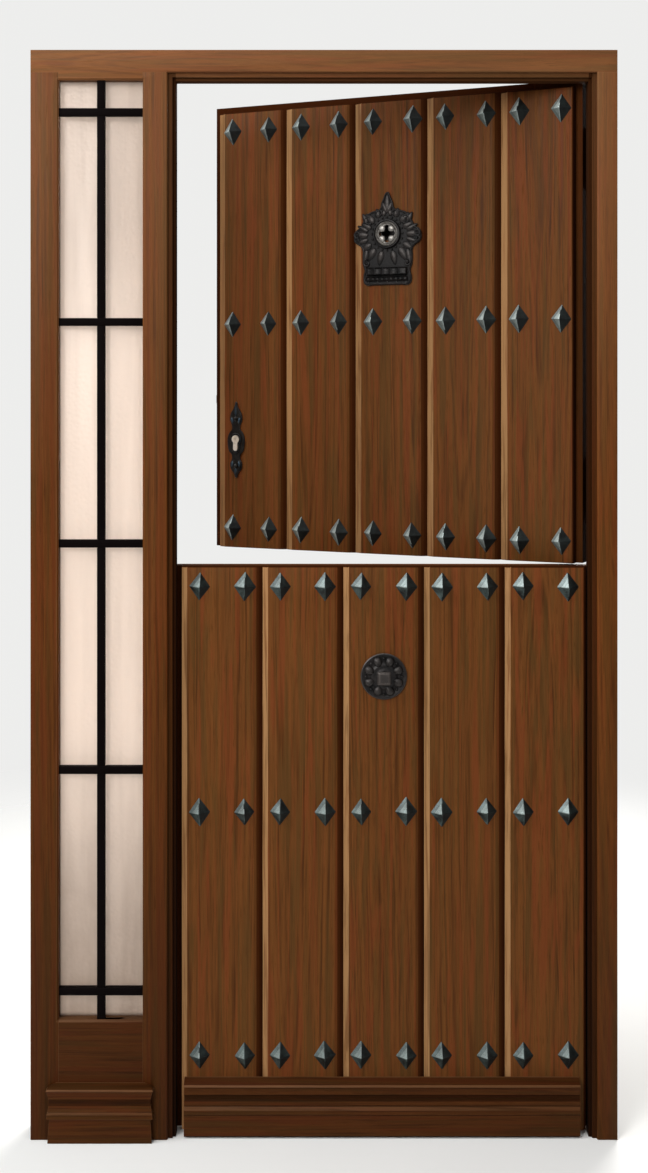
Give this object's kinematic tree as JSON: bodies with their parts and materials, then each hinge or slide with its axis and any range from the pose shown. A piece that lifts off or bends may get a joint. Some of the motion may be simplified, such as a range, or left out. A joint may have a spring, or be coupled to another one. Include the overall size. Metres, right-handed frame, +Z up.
{
  "type": "split front door with sidelight",
  "caption": "Rustic two-part front door of studded vertical planks in a moulded timber frame, with a barred obscured-glass sidelight; each half swings inwards.",
  "frame": {"origin": "middle of the mullion's foot, at the finished floor and at the middle of the frame's depth", "axes": "+Z up, +X along the wall from the mullion towards the doorway and its hinges, -Y towards the outside"},
  "size_m": [1.131, 0.4761, 2.1],
  "materials": {
    "leaf_oak": "dark brown varnish, semi-gloss, vertical grain",
    "frame_oak": "dark brown varnish, semi-gloss",
    "black_iron": "black waxed, slightly rough",
    "lock_steel": "satin",
    "lock_nickel": "polished nickel",
    "obscured_glass": "textured, obscured"
  },
  "bodies": {
    "frame": {"glass_pane": "obscured_glass", "glazing_bead_bottom": "frame_oak", "glazing_bead_left": "frame_oak", "glazing_bead_right": "frame_oak", "grille_crossbar_1": "black_iron", "grille_crossbar_2": "black_iron", "grille_crossbar_3": "black_iron", "grille_crossbar_4": "black_iron", "grille_crossbar_5": "black_iron", "grille_upright": "black_iron", "head": "frame_oak", "hinge_lower_leaf_bottom_jamb_half": "black_iron", "hinge_lower_leaf_top_jamb_half": "black_iron", "hinge_upper_leaf_bottom_jamb_half": "black_iron", "hinge_upper_leaf_top_jamb_half": "black_iron", "jamb_left": "frame_oak", "jamb_right": "frame_oak", "mullion": "frame_oak", "sidelight_bottom_rail": "frame_oak", "sidelight_plinth": "frame_oak", "slide_bolt_keep": "black_iron", "strike_plate": "lock_steel"},
    "upper_leaf": {"hinge_upper_leaf_bottom_leaf_half": "black_iron", "hinge_upper_leaf_top_leaf_half": "black_iron", "key_escutcheon": "black_iron", "lever_backplate": "black_iron", "lock_case": "lock_steel", "lock_cylinder": "lock_nickel", "peephole_grille": "black_iron", "peephole_sleeve": "black_iron", "upper_bottom_rail": "leaf_oak", "upper_hinge_stile": "leaf_oak", "upper_lock_stile": "leaf_oak", "upper_middle_rail": "leaf_oak", "upper_plank_1": "leaf_oak", "upper_plank_2": "leaf_oak", "upper_plank_3": "leaf_oak", "upper_plank_4": "leaf_oak", "upper_plank_5": "leaf_oak", "upper_top_rail": "leaf_oak"},
    "lower_leaf": {"hinge_lower_leaf_bottom_leaf_half": "black_iron", "hinge_lower_leaf_top_leaf_half": "black_iron", "lower_bottom_rail": "leaf_oak", "lower_hinge_stile": "leaf_oak", "lower_lock_stile": "leaf_oak", "lower_middle_rail": "leaf_oak", "lower_plank_1": "leaf_oak", "lower_plank_2": "leaf_oak", "lower_plank_3": "leaf_oak", "lower_plank_4": "leaf_oak", "lower_plank_5": "leaf_oak", "lower_top_rail": "leaf_oak", "pull_knob": "black_iron", "slide_bolt_case": "black_iron", "weatherboard": "leaf_oak"},
    "lever_handle": {"lever_handle": "black_iron"},
    "latch_bolt": {"latch_bolt": "lock_steel"},
    "dead_bolt": {"dead_bolt": "lock_steel"},
    "peephole_cover": {"peephole_cover": "black_iron"},
    "slide_bolt": {"slide_bolt": "black_iron"}
  },
  "joints": [
    {"name": "upper_leaf_hinge", "type": "hinge", "parent": "frame", "child": "upper_leaf", "pos_m": [0.841, 0.0445, 1.58], "axis": [0, 0, -1], "range_deg": [-25.5, 69.5]},
    {"name": "lower_leaf_hinge", "type": "hinge", "parent": "frame", "child": "lower_leaf", "pos_m": [0.841, 0.0445, 0.555], "axis": [0, 0, -1], "range_deg": [0, 95]},
    {"name": "lever_turn", "type": "hinge", "parent": "upper_leaf", "child": "lever_handle", "pos_m": [0.16216, 0.38546, 1.4225], "axis": [0.4305, 0.9026, 0], "range_deg": [0, 35], "stiffness_Nm_per_rad": 1.5, "springref_deg": -17.19},
    {"name": "latch_slide", "type": "slide", "parent": "upper_leaf", "child": "latch_bolt", "axis": [0.9026, -0.4305, 0], "range_m": [0, 0.011]},
    {"name": "dead_bolt_slide", "type": "slide", "parent": "upper_leaf", "child": "dead_bolt", "axis": [-0.9026, 0.4305, 0], "range_m": [0, 0.02]},
    {"name": "peephole_cover_swing", "type": "hinge", "parent": "upper_leaf", "child": "peephole_cover", "pos_m": [0.46009, 0.19129, 1.793], "axis": [0.4305, 0.9026, 0], "continuous": true},
    {"name": "slide_bolt_slide", "type": "slide", "parent": "lower_leaf", "child": "slide_bolt", "axis": [-1, 0, 0], "range_m": [0, 0.028]}
  ],
  "couplings": [
    {"joint": "latch_slide", "follows": "lever_turn", "m_per_rad": 0.018}
  ]
}
